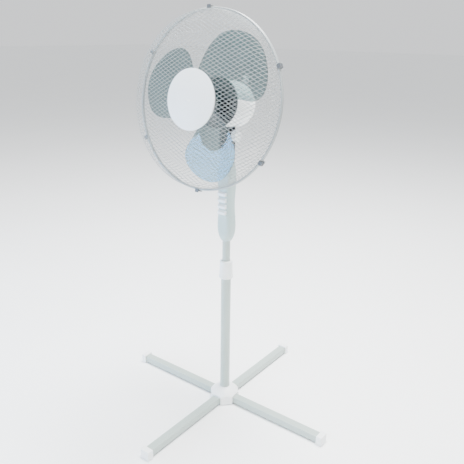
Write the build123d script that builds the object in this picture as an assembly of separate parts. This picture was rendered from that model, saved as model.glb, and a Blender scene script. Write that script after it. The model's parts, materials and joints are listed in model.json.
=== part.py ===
"""Pedestal fan: cross base, telescopic pole, control housing, tilting and swinging head.

Millimetres, +Z up, origin on the floor under the pole axis, -Y is where the fan blows.
Head parts are drawn in a head frame whose origin is the tilt hinge, and then tilted once.
Round head parts are drawn about the motor axis, with +Z pointing forwards.
"""
from build123d import *
from math import cos, hypot, radians, sin
import os

# ---------------------------------------------------------------- clearances
SNUG = 0.1            # fixed pieces that slip together
RUNNING = 0.06        # shafts in their bores, on the radius
APART = 0.3           # faces of pieces that move past each other

# ---------------------------------------------------------------- cross base
LEG_REACH = 340.0     # pole axis to the outer end of a foot cap
LEG_WIDTH = 24.0
LEG_HEIGHT = 19.2
LEG_LIFT = 3.6        # under side of a leg above the floor
LEG_WALL = 1.4
CAP_WIDTH = 30.8
CAP_HEIGHT = 26.4
CAP_DEPTH = 17.0
CAP_END_WALL = 3.0
COVER_FLATS = 80.0
COVER_WALL = 2.4
COVER_SKIRT = 1.0     # lower edge of the hub cover above the floor
COVER_SHOULDER = 29.0  # where the roof starts on a flat
COVER_TOP = 45.0      # where the roof meets the pole
LEG_SLOT_GAP = 0.9
SOCKET_PLATE_RADIUS = 34.0
SOCKET_PLATE = 3.0
SOCKET_TOP = 80.0
SOCKET_WALL = 2.0
BASE_BOLT_CIRCLE = 24.0
BASE_BOLT_RADIUS = 3.0
BASE_BOLT_LENGTH = 14.0

# ---------------------------------------------------------------- pole
POLE_RADIUS = 14.0
POLE_WALL = 1.2
POLE_TOP = 436.0
MAST_RADIUS = 11.0
MAST_WALL = 1.2
MAST_BOTTOM = 160.0
MAST_PLUG_FLANGE = 8.0
MAST_PLUG_SPIGOT = 20.0
COLLAR_BOTTOM = 399.0
COLLAR_HEIGHT = 52.0
COLLAR_FOOT_RADIUS = 19.5
COLLAR_TOP_RADIUS = 17.5
COLLAR_BAND = 8.0     # height of the ridge round the collar's foot
COLLAR_LIP = 3.5
BUSH_SKIRT = 28.0
BUSH_SPIGOT = 40.0
BUSH_SKIRT_WALL = 1.4
BUSH_FLANGE = 4.0
BUSH_FINGERS = 7.0

# ---------------------------------------------------------------- control housing
HOUSING_BOTTOM = 511.0
HOUSING_HEIGHT = 253.0
HOUSING_WIDTH = 44.0
HOUSING_DEPTH = 36.0
HOUSING_CORNER = 10.0
HOUSING_WALL = 2.2
NECK_WIDTH = 35.0
NECK_DEPTH = 31.0
FOOT_WIDTH = 27.0
FOOT_DEPTH = 26.0
MAST_SOCKET_HEIGHT = 64.0   # top of the mast above the housing's bottom
BUTTON_WIDTH = 25.0
BUTTON_HEIGHT = 11.0
BUTTON_PITCH = 17.0
BUTTON_FIRST = 84.0         # lowest button above the housing's bottom
BUTTON_PROUD = 7.0
BUTTON_TRAVEL = 4.0
BUTTON_FLANGE = 0.8    # retaining flange beyond the key's sides
BUTTON_LIP = 1.2       # and beyond its top and bottom
BUTTON_NAMES = ["button_off", "button_low", "button_medium", "button_high"]
SWITCH_WIDTH = 25.0
SWITCH_DEPTH = 14.0
SCREW_RADIUS = 1.6
SCREW_BOSS = 3.2
SCREW_HEAD = 3.0
SCREW_HEAD_BOSS = 4.6

# ---------------------------------------------------------------- tilt joint
HINGE_HEIGHT = 800.0
REST_TILT = 8.7       # degrees, head up
FORK_WIDTH = 35.0
FORK_DEPTH = 31.0
FORK_EAR = 8.0
FORK_EAR_RADIUS = 13.0
TENON = (24.0, 20.0, 26.0)
TILT_BOLT_RADIUS = 4.0
TILT_BOLT_HEAD = 5.0
KNOB_RADIUS = 15.0
KNOB_WIDTH = 17.0
KNOB_LOBES = 6
BLOCK_WIDTH = 32.0
BLOCK_DEPTH = 26.0
BLOCK_TOP = 32.0
SWING_PIN_RADIUS = 4.0
SWING_BOSS_RADIUS = 7.5

# ---------------------------------------------------------------- motor, all about the motor axis
AXIS_UP = 77.5        # motor axis above the tilt hinge
SHAFT_RADIUS = 4.0
SHAFT_BACK = -46.0
SHAFT_FRONT = 132.0
SHELL_RADIUS = 59.0
SHELL_FRONT = 57.0
SHELL_SEAM = 50.0     # where the front shell meets the rear cover
SHELL_WALL = 2.2
SHELL_FACE = 3.5
SHELL_EDGE = 6.0
COVER_BACK = -62.0
GUARD_BOSS_RADIUS = 18.5
GUARD_BOSS_BORE = 12.0
GUARD_BOSS_FRONT = 70.0
STACK_BACK = 20.0
STACK_FRONT = 46.0
STATOR_RADIUS = 40.0
STATOR_BORE = 22.0
AIR_GAP = 0.5
STATOR_SLOTS = 16
BELL_WALL = 2.0
BELL_DEPTH = 7.5
BEARING_RADIUS = 8.0
BEARING_LENGTH = 6.0

# ---------------------------------------------------------------- swing drive, in the head frame
GEARBOX_WALL = 2.5
GEARBOX_LEFT = -16.0
GEARBOX_RIGHT = 27.0
GEARBOX_REAR = -52.0   # forward positions: behind the hinge is negative
GEARBOX_FRONT = 10.0
GEARBOX_BOTTOM = 56.0
GEARBOX_TOP = 96.0
DRIVE_BACK = 36.0      # worm wheel and crank stand this far behind the hinge
WORM_RADIUS = 5.2
WHEEL_RADIUS = 8.6
PINION_RADIUS = 4.4
CRANK_GEAR_RADIUS = 9.2
CRANK_THROW = 11.0
CRANK_PIN_RADIUS = 2.0
LINK_THICK = 3.0
LINK_EYE = 4.2         # outside radius of the link arm at the crank pin
LINK_ANCHOR = (16.0, 4.0)   # on the tilt block: to the right of and behind the swing pin
LINK_SLACK = 2.2            # on the radius, at the anchor end of the link arm
PULL_ROD_RADIUS = 2.5
PULL_KNOB_RADIUS = 8.0
PULL_KNOB_HEIGHT = 16.0
PULL_TRAVEL = 10.0

# ---------------------------------------------------------------- guards and blades
RING_FORWARD = 98.3
RING_RADIUS = 216.0
RING_BAND = 4.5        # radial
RING_DEPTH = 4.0       # axial, each ring
RING_EDGE = 1.2        # chamfer on the rings
MESH_THICK = 0.6
CAP_RADIUS = 71.4
CAP_RIM = 60.5         # front of the cap's rim ahead of the guard rings
CAP_CROWN = 5.5
CAP_WALL = 2.0
PLATE_RADIUS = 62.0
PLATE_THICK = 2.5
GUARD_NUT_RADIUS = 30.0
GUARD_NUT_THICK = 9.5
CLIP_ANGLES = [94, 25, -35, -90, -150, 150]
CLIP_WIDTH = 10.0
CLIP_THICK = 2.8
CLIP_PIN_RADIUS = 1.0
BLADE_COUNT = 3
BLADE_PHASE = 45.0
BLADE_TIP = 195.0
BLADE_THICK = 2.0
BLADE_MIDDLE = 8.0     # blade centre line ahead of the guard rings
BLADE_RISE = 16.0      # trailing edge ahead of the centre line
BLADE_CAMBER = 5.0
BLADE_SPAN = 40.0      # half of the blade's angle at the outline's waist
HUB_RADIUS = 34.0
HUB_BACK = -16.0
HUB_FRONT = 30.0
HUB_WALL = 2.5
HUB_SLEEVE = 9.0
HUB_FLOOR = 14.0
SPINNER_RADIUS = 15.0
DRIVE_PIN_RADIUS = 1.5


# ================================================================ drawing helpers
def block(x, y, z):
    """Box from three (low, high) pairs."""
    centre = [(low + high) / 2 for low, high in (x, y, z)]
    size = [high - low for low, high in (x, y, z)]
    return Pos(*centre) * Box(*size)


def rod(radius, bottom, top, at=(0, 0)):
    return Pos(at[0], at[1], (bottom + top) / 2) * Cylinder(radius, top - bottom)


def tube(outer, inner, bottom, top, at=(0, 0)):
    return rod(outer, bottom, top, at) - rod(inner, bottom - 1, top + 1, at)


def hexagon(radius, bottom, top, at=(0, 0)):
    return Pos(at[0], at[1], bottom) * extrude(RegularPolygon(radius, 6), top - bottom)


def turned(points):
    """Solid of revolution about Z from (radius, height) corners."""
    outline = Polyline([(radius, 0, height) for radius, height in points], close=True)
    return revolve(make_face(outline), Axis.Z)


def turned_sheet(points, thick):
    """Thin revolved sheet whose section is a smooth curve through (radius, height) points."""
    def side(offset):
        moved = []
        for index, (radius, height) in enumerate(points):
            before = points[max(index - 1, 0)]
            after = points[min(index + 1, len(points) - 1)]
            run, rise = after[0] - before[0], after[1] - before[1]
            length = hypot(run, rise)
            moved.append((radius - offset * rise / length, 0, height + offset * run / length))
        return moved
    upper, lower = side(thick / 2), side(-thick / 2)
    edges = [Spline(*upper), Line(upper[-1], lower[-1]), Spline(*lower), Line(lower[0], upper[0])]
    return revolve(make_face(edges), Axis.Z)


def around(count, shape, start=0.0):
    return [Rot(0, 0, start + turn * 360 / count) * shape for turn in range(count)]


def cut_all(shape, tools):
    for tool in tools:
        shape = shape - tool
    return shape


def join_all(shape, extras):
    for extra in extras:
        shape = shape + extra
    return shape


HEAD = Location((0, 0, HINGE_HEIGHT), (-REST_TILT, 0, 0))
AXIAL = HEAD * Location((0, 0, AXIS_UP), (90, 0, 0))
RING = AXIAL * Pos(0, 0, RING_FORWARD)
nodes = {}


def keep(name, *solids, place=None):
    """Store a node: one solid, or a group of separate solids."""
    placed = [place * solid if place else solid for solid in solids]
    nodes[name] = placed[0] if len(placed) == 1 else Compound(children=placed)


# ================================================================ cross base
LEG_TOP = LEG_LIFT + LEG_HEIGHT
LEG_MIDDLE = LEG_LIFT + LEG_HEIGHT / 2
PLATE_TOP = LEG_TOP + SOCKET_PLATE
POLE_BORE = POLE_RADIUS - POLE_WALL


def leg_bar():
    """Square-section steel tube along X, through the centre."""
    end = LEG_REACH - CAP_END_WALL
    half = LEG_WIDTH / 2
    outer = block((-end, end), (-half, half), (LEG_LIFT, LEG_TOP))
    outer = fillet(outer.edges().filter_by(Axis.X), 2.4)
    inner = block((-end - 1, end + 1), (LEG_WALL - half, half - LEG_WALL),
                  (LEG_LIFT + LEG_WALL, LEG_TOP - LEG_WALL))
    holes = [rod(BASE_BOLT_RADIUS + SNUG, LEG_MIDDLE, LEG_TOP + 1, (side * BASE_BOLT_CIRCLE, 0))
             for side in (-1, 1)]
    return cut_all(outer - inner, holes)


def foot_cap():
    """Plastic cap on the +X leg; its under side is the foot."""
    inner_end = LEG_REACH - CAP_DEPTH
    cap = block((inner_end, LEG_REACH), (-CAP_WIDTH / 2, CAP_WIDTH / 2), (0, CAP_HEIGHT))
    outer_edges = cap.edges().filter_by(Axis.Z).sort_by(Axis.X)[-2:]
    cap = fillet(outer_edges, 4.0)
    cap = fillet(cap.faces().sort_by(Axis.Z)[-1].edges(), 1.5)
    cap = fillet(cap.faces().sort_by(Axis.Z)[0].edges(), 0.8)
    half = LEG_WIDTH / 2 + SNUG
    pocket = block((inner_end - 1, LEG_REACH - CAP_END_WALL + SNUG), (-half, half),
                   (LEG_LIFT, LEG_TOP + SNUG))
    return cap - pocket


notch = LEG_WIDTH / 2 + SNUG
bar = leg_bar()
keep("base_bar_x", bar - block((-notch, notch), (-notch, notch), (LEG_MIDDLE, LEG_TOP + 1)))
keep("base_bar_y",
     Rot(0, 0, 90) * bar - block((-notch, notch), (-notch, notch), (LEG_LIFT - 1, LEG_MIDDLE)))
keep("foot_caps", *around(4, foot_cap()))

bolt_places = [(BASE_BOLT_CIRCLE, 0), (0, BASE_BOLT_CIRCLE), (-BASE_BOLT_CIRCLE, 0), (0, -BASE_BOLT_CIRCLE)]
socket_tube = tube(POLE_BORE - SNUG, POLE_BORE - SNUG - SOCKET_WALL, LEG_TOP, SOCKET_TOP)
socket = rod(SOCKET_PLATE_RADIUS, LEG_TOP, PLATE_TOP) + socket_tube
socket = socket - rod(POLE_BORE - SNUG - SOCKET_WALL, LEG_TOP - 1, SOCKET_TOP)
keep("pole_socket", cut_all(socket, [rod(BASE_BOLT_RADIUS + SNUG, LEG_TOP - 1, PLATE_TOP + 1, at)
                                     for at in bolt_places]))
base_bolts = []
for at in bolt_places:
    head = hexagon(5.8, PLATE_TOP, PLATE_TOP + 4, at)
    base_bolts.append(head + rod(BASE_BOLT_RADIUS, PLATE_TOP - BASE_BOLT_LENGTH, PLATE_TOP, at))
    nut_top = LEG_TOP - LEG_WALL
    base_bolts.append(hexagon(5.8, nut_top - 4.5, nut_top, at)
                      - rod(BASE_BOLT_RADIUS + RUNNING, 0, LEG_TOP, at))
keep("base_bolts", *base_bolts)


def roofed_octagon(flats, shoulder, top_radius, top):
    """Octagonal prism under a spherical roof through (flats/2, shoulder) and (top_radius, top)."""
    edge = flats / 2
    drop = top - shoulder
    # sphere centre height from the two points on its profile
    centre = (top ** 2 + top_radius ** 2 - shoulder ** 2 - edge ** 2) / (2 * drop)
    radius = hypot(edge, shoulder - centre)
    prism = Rot(0, 0, 22.5) * extrude(RegularPolygon(edge, 8, major_radius=False), top + radius)
    return prism & (Pos(0, 0, centre) * Sphere(radius))


cover = roofed_octagon(COVER_FLATS, COVER_SHOULDER, POLE_RADIUS, COVER_TOP)
cover = cover - roofed_octagon(COVER_FLATS - 2 * COVER_WALL, COVER_SHOULDER - COVER_WALL,
                               POLE_RADIUS, COVER_TOP - COVER_WALL)
slot_half = LEG_WIDTH / 2 + LEG_SLOT_GAP
slots = [block((-COVER_FLATS, COVER_FLATS), (-slot_half, slot_half), (-1, LEG_TOP)),
         block((-slot_half, slot_half), (-COVER_FLATS, COVER_FLATS), (-1, LEG_TOP)),
         rod(POLE_RADIUS + APART, 0, COVER_TOP + POLE_RADIUS),
         block((-COVER_FLATS, COVER_FLATS), (-COVER_FLATS, COVER_FLATS), (-1, COVER_SKIRT))]
keep("base_cover", cut_all(cover, slots))

# ================================================================ pole, bush, collar, mast
keep("outer_tube", tube(POLE_RADIUS, POLE_BORE, PLATE_TOP, POLE_TOP))

bush_bore = MAST_RADIUS + RUNNING
bush_outer = POLE_RADIUS + SNUG + BUSH_SKIRT_WALL
bush_flange_top = POLE_TOP + BUSH_FLANGE
bush_top = bush_flange_top + BUSH_FINGERS
bush = turned([(bush_bore, POLE_TOP - BUSH_SPIGOT), (POLE_BORE - SNUG, POLE_TOP - BUSH_SPIGOT),
               (POLE_BORE - SNUG, POLE_TOP), (POLE_RADIUS + SNUG, POLE_TOP),
               (POLE_RADIUS + SNUG, POLE_TOP - BUSH_SKIRT), (bush_outer, POLE_TOP - BUSH_SKIRT),
               (bush_outer, bush_flange_top), (MAST_RADIUS + 2.6, bush_flange_top),
               (MAST_RADIUS + 2.2, bush_top), (bush_bore, bush_top)])
slit = block((-0.8, 0.8), (0, bush_outer + 1), (bush_flange_top, bush_top + 1))
keep("tube_bush", cut_all(bush, around(4, slit, 45)))

collar_top = COLLAR_BOTTOM + COLLAR_HEIGHT
collar_bore = bush_outer + APART
collar = turned([(collar_bore, COLLAR_BOTTOM), (COLLAR_FOOT_RADIUS - 0.8, COLLAR_BOTTOM),
                 (COLLAR_FOOT_RADIUS, COLLAR_BOTTOM + 1), (COLLAR_FOOT_RADIUS, COLLAR_BOTTOM + COLLAR_BAND),
                 (COLLAR_FOOT_RADIUS - 0.7, COLLAR_BOTTOM + COLLAR_BAND + 0.8),
                 (COLLAR_TOP_RADIUS, collar_top - 2.5), (COLLAR_TOP_RADIUS - 2.5, collar_top),
                 (MAST_RADIUS + 0.5, collar_top), (MAST_RADIUS + 0.5, collar_top - COLLAR_LIP),
                 (collar_bore, collar_top - COLLAR_LIP)])
keep("height_collar", collar)

mast_top = HOUSING_BOTTOM + MAST_SOCKET_HEIGHT
mast_bore = MAST_RADIUS - MAST_WALL
keep("inner_tube", tube(MAST_RADIUS, mast_bore, MAST_BOTTOM, mast_top))
plug = tube(POLE_BORE - SNUG, mast_bore - 3, MAST_BOTTOM - MAST_PLUG_FLANGE, MAST_BOTTOM)
plug = plug + tube(mast_bore - SNUG, mast_bore - 3, MAST_BOTTOM - 1, MAST_BOTTOM + MAST_PLUG_SPIGOT)
keep("inner_tube_plug", plug)

# ================================================================ control housing
HOUSING_TOP = HOUSING_BOTTOM + HOUSING_HEIGHT
HALF_DEPTH = HOUSING_DEPTH / 2
INNER_FRONT = HALF_DEPTH - HOUSING_WALL
STEM_BACK = 5.0


def housing_body(inset, bottom, top):
    """Lofted outside of the housing, shrunk all round by inset, between two heights."""
    sections = [(0.0, FOOT_WIDTH, FOOT_DEPTH, 11.0),
                (0.035, FOOT_WIDTH + 8.5, FOOT_DEPTH + 5.5, 12.0),
                (0.095, HOUSING_WIDTH - 1.4, HOUSING_DEPTH - 1.0, 11.0),
                (0.2, HOUSING_WIDTH, HOUSING_DEPTH, HOUSING_CORNER),
                (0.62, HOUSING_WIDTH, HOUSING_DEPTH, HOUSING_CORNER),
                (0.8, (HOUSING_WIDTH + NECK_WIDTH) / 2, (HOUSING_DEPTH + NECK_DEPTH) / 2, 9.0),
                (1.0, NECK_WIDTH, NECK_DEPTH, 8.0)]
    faces = []
    for share, width, depth, corner in sections:
        height = bottom + share * (top - bottom)
        outline = RectangleRounded(width - 2 * inset, depth - 2 * inset, corner - inset)
        faces.append(Pos(0, 0, height) * outline)
    return loft(faces)


button_heights = [HOUSING_BOTTOM + BUTTON_FIRST + index * BUTTON_PITCH for index in range(4)]
switch_bottom = button_heights[0] - BUTTON_PITCH / 2 - 3
switch_top = button_heights[-1] + BUTTON_PITCH / 2 + 3
switch_front = -INNER_FRONT + 1.4 + BUTTON_TRAVEL + 0.4
screw_places = [(side * (HOUSING_WIDTH / 2 - 5.7), switch_bottom - SCREW_HEAD_BOSS - 0.4)
                for side in (-1, 1)]
screw_places += [(side * (NECK_WIDTH / 2 - 6.0), HOUSING_BOTTOM + 0.75 * HOUSING_HEIGHT)
                 for side in (-1, 1)]
counterbore = HALF_DEPTH - 5.5

outside = housing_body(0, HOUSING_BOTTOM, HOUSING_TOP)
inside = housing_body(HOUSING_WALL, HOUSING_BOTTOM + HOUSING_WALL, HOUSING_TOP - 3)
shell = outside - inside
shell = shell - rod(MAST_RADIUS + SNUG, HOUSING_BOTTOM - 1, HOUSING_BOTTOM + 8)
shell = shell - block((-TENON[0] / 2 - SNUG, TENON[0] / 2 + SNUG),
                      (-TENON[1] / 2 - SNUG, TENON[1] / 2 + SNUG),
                      (HOUSING_TOP - 4, HOUSING_TOP + 1))
far = 2 * HOUSING_WIDTH
front_side = block((-far, far), (-far, 0), (HOUSING_BOTTOM - 1, HOUSING_TOP + 1))
rear_side = block((-far, far), (0, far), (HOUSING_BOTTOM - 1, HOUSING_TOP + 1))


def across(radius, y_low, y_high, x, z):
    """Rod along Y."""
    return Pos(x, 0, z) * Rot(-90, 0, 0) * rod(radius, y_low, y_high)


front = shell & front_side
for x, z in screw_places:
    front = front + (across(SCREW_BOSS, -HALF_DEPTH, 0, x, z) & outside)
for side in (-1, 1):
    for z in (switch_bottom, switch_top - 3):
        pad = block((side * 9 - 2, side * 9 + 2), (-HALF_DEPTH, switch_front), (z, z + 3))
        front = front + (pad & outside)
for x, z in screw_places:
    front = front - across(SCREW_RADIUS + RUNNING, -INNER_FRONT + 2, 1, x, z)
for z in button_heights:
    front = front - block((-BUTTON_WIDTH / 2 - APART, BUTTON_WIDTH / 2 + APART), (-far, -INNER_FRONT + 1),
                          (z - BUTTON_HEIGHT / 2 - APART, z + BUTTON_HEIGHT / 2 + APART))
    pocket_half = BUTTON_WIDTH / 2 + BUTTON_FLANGE + APART
    pocket_rise = BUTTON_HEIGHT / 2 + BUTTON_LIP + APART
    front = front - block((-pocket_half, pocket_half), (-INNER_FRONT + 0.1, switch_front),
                          (z - pocket_rise, z + pocket_rise))
keep("control_housing_front", front)

clamp_height = mast_top - 20
gland_height = HOUSING_BOTTOM + 29
rear = shell & rear_side
web = block((-4, 4), (MAST_RADIUS, HALF_DEPTH), (HOUSING_BOTTOM + 25, mast_top)) & outside
rear = rear + web + rod(MAST_RADIUS + 2.8, HOUSING_BOTTOM + 25, mast_top)
rear = rear - rod(MAST_RADIUS + SNUG, HOUSING_BOTTOM - 1, mast_top + 1)
for x, z in screw_places:
    rear = rear + (across(SCREW_HEAD_BOSS, 0, HALF_DEPTH, x, z) & outside)
for x, z in screw_places:
    rear = rear - across(SCREW_RADIUS + RUNNING, -1, HALF_DEPTH + 1, x, z)
    rear = rear - across(SCREW_HEAD + SNUG, counterbore, HALF_DEPTH + 1, x, z)
rear = rear - across(2.5 + RUNNING, 0, HALF_DEPTH + 1, 0, clamp_height)
rear = rear - across(5 + SNUG, MAST_RADIUS + 3, HALF_DEPTH + 1, 0, gland_height)
keep("control_housing_rear", rear)

housing_screws = [across(SCREW_RADIUS, -10, counterbore + 1, x, z)
                  + across(SCREW_HEAD, counterbore, counterbore + 2, x, z) for x, z in screw_places]
keep("housing_screws", *housing_screws)
keep("tube_clamp_screw", across(2.5, MAST_RADIUS, HALF_DEPTH, 0, clamp_height)
     + across(4.5, HALF_DEPTH, HALF_DEPTH + 3, 0, clamp_height))
gland = (across(5, MAST_RADIUS + 3, HALF_DEPTH, 0, gland_height)
         + across(7, HALF_DEPTH - 0.05, HALF_DEPTH + 4, 0, gland_height))
gland = gland - across(3.4, MAST_RADIUS, HALF_DEPTH + 5, 0, gland_height)
keep("cord_gland", gland)

switch = block((-SWITCH_WIDTH / 2, SWITCH_WIDTH / 2), (switch_front, switch_front + SWITCH_DEPTH),
               (switch_bottom, switch_top))
for z in button_heights:
    switch = switch - block((-3.2, 3.2), (switch_front - 1, switch_front + STEM_BACK + BUTTON_TRAVEL + 1),
                            (z - 2.2, z + 2.2))
for index in range(5):
    z = switch_bottom + 10 + index * (switch_top - switch_bottom - 20) / 4
    tab_back = switch_front + SWITCH_DEPTH
    switch = switch + block((-3, 3), (tab_back - 1, tab_back + 6), (z - 0.4, z + 0.4))
keep("switch_block", switch)


def push_button(height):
    """Key with a sloped face, a retaining flange and a stem into the switch block."""
    half_width, half_height = BUTTON_WIDTH / 2, BUTTON_HEIGHT / 2
    front_y = -HALF_DEPTH - BUTTON_PROUD
    key = block((-half_width, half_width), (front_y, -INNER_FRONT + 0.4), (-half_height, half_height))
    front_face = key.faces().sort_by(Axis.Y)[0]
    slope = front_face.edges().filter_by(Axis.X).sort_by(Axis.Z)[-1]
    key = chamfer(slope, 4.2, 6.5)
    key = fillet(key.edges().filter_by(Axis.Z).sort_by(Axis.Y)[:2], 1.5)
    flange = block((-half_width - BUTTON_FLANGE, half_width + BUTTON_FLANGE),
                   (-INNER_FRONT + 0.4, -INNER_FRONT + 1.4),
                   (-half_height - BUTTON_LIP, half_height + BUTTON_LIP))
    stem = block((-2.8, 2.8), (-INNER_FRONT + 1.3, switch_front + STEM_BACK), (-1.8, 1.8))
    return Pos(0, 0, height) * (key + flange + stem)


for name, height in zip(BUTTON_NAMES, button_heights):
    keep(name, push_button(height))

# ================================================================ tilt joint
def lengthwise(radius, x_low, x_high, z=0.0):
    """Rod along X through the tilt hinge."""
    return Pos(0, 0, z) * Rot(0, 90, 0) * rod(radius, x_low, x_high)


tongue_half = FORK_WIDTH / 2 - FORK_EAR - APART
ear_inner = FORK_WIDTH / 2 - FORK_EAR
fork_bottom = HOUSING_TOP - HINGE_HEIGHT
fork = block((-FORK_WIDTH / 2, FORK_WIDTH / 2), (-FORK_DEPTH / 2, FORK_DEPTH / 2),
             (fork_bottom, -FORK_EAR_RADIUS))
fork = fillet(fork.edges().filter_by(Axis.Z), 8.0)
ears = lengthwise(FORK_EAR_RADIUS, -FORK_WIDTH / 2, FORK_WIDTH / 2)
ears = ears + block((-FORK_WIDTH / 2, FORK_WIDTH / 2), (-FORK_EAR_RADIUS, FORK_EAR_RADIUS),
                    (-FORK_EAR_RADIUS - 6, 0))
fork = fork + (ears & Pos(0, 0, -60) * extrude(RectangleRounded(FORK_WIDTH, FORK_DEPTH, 8.0), 120))
fork = fork - block((-ear_inner, ear_inner), (-FORK_DEPTH, FORK_DEPTH),
                    (-FORK_EAR_RADIUS - 3, FORK_EAR_RADIUS + 1))
tenon = block((-TENON[0] / 2, TENON[0] / 2), (-TENON[1] / 2, TENON[1] / 2),
              (fork_bottom - TENON[2], fork_bottom + 1))
fork = fork + tenon - lengthwise(TILT_BOLT_RADIUS + RUNNING, -FORK_WIDTH, FORK_WIDTH)
keep("neck_fork", fork, place=Pos(0, 0, HINGE_HEIGHT))

bolt_end = FORK_WIDTH / 2 + APART + KNOB_WIDTH - 4
tilt_bolt = lengthwise(TILT_BOLT_RADIUS, -FORK_WIDTH / 2, bolt_end)
tilt_bolt = tilt_bolt + Rot(0, 90, 0) * hexagon(7.5, -FORK_WIDTH / 2 - TILT_BOLT_HEAD, -FORK_WIDTH / 2)
keep("tilt_bolt", tilt_bolt, place=Pos(0, 0, HINGE_HEIGHT))

knob_start = FORK_WIDTH / 2 + APART
knob = rod(9, knob_start, knob_start + 4)
grip = rod(KNOB_RADIUS, knob_start + 4, knob_start + KNOB_WIDTH)
scallops = around(KNOB_LOBES,
                  rod(4.5, knob_start + 3, knob_start + KNOB_WIDTH + 1, (KNOB_RADIUS + 2.4, 0)), 30)
grip = cut_all(grip, scallops)
grip = fillet(grip.faces().sort_by(Axis.Z)[-1].edges(), 1.2)
knob = knob + grip - rod(TILT_BOLT_RADIUS + RUNNING, 0, bolt_end + 0.5)
keep("tilt_knob", Rot(0, 90, 0) * knob, place=Pos(0, 0, HINGE_HEIGHT))

anchor = (LINK_ANCHOR[0], LINK_ANCHOR[1])
link_level = BLOCK_TOP + 9
body = block((-BLOCK_WIDTH / 2, BLOCK_WIDTH / 2), (-BLOCK_DEPTH / 2, BLOCK_DEPTH / 2),
             (FORK_EAR_RADIUS + 1, BLOCK_TOP))
body = fillet(body.edges().filter_by(Axis.Z), 6.0)
tongue = lengthwise(FORK_EAR_RADIUS - 0.5, -tongue_half, tongue_half)
tongue = tongue + block((-tongue_half, tongue_half), (0.5 - FORK_EAR_RADIUS, FORK_EAR_RADIUS - 0.5),
                        (0, FORK_EAR_RADIUS + 2))
tilt_block = body + tongue + rod(5, BLOCK_TOP - 8, link_level - LINK_THICK / 2 - APART, anchor)
tilt_block = tilt_block + rod(CRANK_PIN_RADIUS, BLOCK_TOP, link_level + LINK_THICK / 2 + 2, anchor)
tilt_block = tilt_block - lengthwise(TILT_BOLT_RADIUS + RUNNING, -far, far)
tilt_block = tilt_block - rod(SWING_PIN_RADIUS, FORK_EAR_RADIUS + 4, BLOCK_TOP + 1)
keep("tilt_block", tilt_block, place=HEAD)
keep("swing_pin", rod(SWING_PIN_RADIUS, FORK_EAR_RADIUS + 4, GEARBOX_BOTTOM - 1), place=HEAD)

# ================================================================ swing drive
WHEEL_AXIS = (WORM_RADIUS + WHEEL_RADIUS + 0.2, DRIVE_BACK)
CRANK_AXIS = (WHEEL_AXIS[0] - PINION_RADIUS - CRANK_GEAR_RADIUS - 0.2, DRIVE_BACK)
crank_pin_at = (CRANK_AXIS[0] + CRANK_THROW, DRIVE_BACK)
gear_level = GEARBOX_BOTTOM + GEARBOX_WALL + 0.5
GEAR_THICK = 5.0

case = block((GEARBOX_LEFT, GEARBOX_RIGHT), (-GEARBOX_FRONT, -GEARBOX_REAR), (GEARBOX_BOTTOM, GEARBOX_TOP))
case = fillet(case.edges().filter_by(Axis.Y), 3.0)
case = case - block((GEARBOX_LEFT + GEARBOX_WALL, GEARBOX_RIGHT - GEARBOX_WALL),
                    (-GEARBOX_FRONT + GEARBOX_WALL, -GEARBOX_REAR - GEARBOX_WALL),
                    (GEARBOX_BOTTOM + GEARBOX_WALL, GEARBOX_TOP - GEARBOX_WALL))
case = case + rod(SWING_BOSS_RADIUS, BLOCK_TOP + APART, GEARBOX_BOTTOM + 1)
case = case - rod(SWING_PIN_RADIUS + RUNNING, BLOCK_TOP, GEARBOX_BOTTOM + 0.2)
case = case - rod(3 + RUNNING, GEARBOX_BOTTOM - 1, GEARBOX_BOTTOM + GEARBOX_WALL + 1, CRANK_AXIS)
case = case - rod(PULL_ROD_RADIUS + RUNNING, GEARBOX_TOP - GEARBOX_WALL - 1, GEARBOX_TOP + 1, WHEEL_AXIS)
case = case - Pos(0, 0, AXIS_UP) * Rot(90, 0, 0) * rod(SHAFT_RADIUS + 0.4, 0, GEARBOX_FRONT + 1)
cover_screw_places = [(GEARBOX_LEFT + 7, AXIS_UP), (GEARBOX_RIGHT - 7, AXIS_UP)]
for x, z in cover_screw_places:
    case = case - across(1.5 + RUNNING, -GEARBOX_REAR - GEARBOX_WALL - 1, -GEARBOX_REAR + 1, x, z)
keep("gearbox_case", case, place=HEAD)

wheel_middle = AXIS_UP
wheel = rod(WHEEL_RADIUS, wheel_middle - GEAR_THICK / 2, wheel_middle + GEAR_THICK / 2)
tooth_gap = rod(0.55, wheel_middle - GEAR_THICK, wheel_middle + GEAR_THICK, (WHEEL_RADIUS + 0.1, 0))
wheel = cut_all(wheel, around(28, tooth_gap))
wheel = wheel + rod(4.6, gear_level + GEAR_THICK, wheel_middle)
pinion = rod(PINION_RADIUS, gear_level, gear_level + GEAR_THICK + 0.5)
pinion = cut_all(pinion, around(12, rod(0.6, gear_level - 1, gear_level + GEAR_THICK,
                                        (PINION_RADIUS + 0.1, 0))))
wheel = wheel + pinion - rod(PULL_ROD_RADIUS + RUNNING, 0, GEARBOX_TOP)
keep("worm_wheel", Pos(WHEEL_AXIS[0], WHEEL_AXIS[1], 0) * wheel, place=HEAD)

crank_gear = rod(CRANK_GEAR_RADIUS, gear_level, gear_level + GEAR_THICK)
crank_gear = cut_all(crank_gear, around(26, rod(0.55, gear_level - 1, gear_level + GEAR_THICK + 1,
                                                (CRANK_GEAR_RADIUS + 0.1, 0))))
disc_bottom = link_level + LINK_THICK / 2 + APART
crank_gear = crank_gear + rod(3, disc_bottom, gear_level + 1)
crank_gear = Pos(CRANK_AXIS[0], CRANK_AXIS[1], 0) * crank_gear
crank_gear = crank_gear + rod(CRANK_THROW + 4, disc_bottom, GEARBOX_BOTTOM - APART, CRANK_AXIS)
crank_gear = crank_gear + rod(CRANK_PIN_RADIUS, link_level - LINK_THICK / 2 - 1.5, disc_bottom + 1,
                              crank_pin_at)
keep("crank_gear", crank_gear, place=HEAD)

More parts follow.
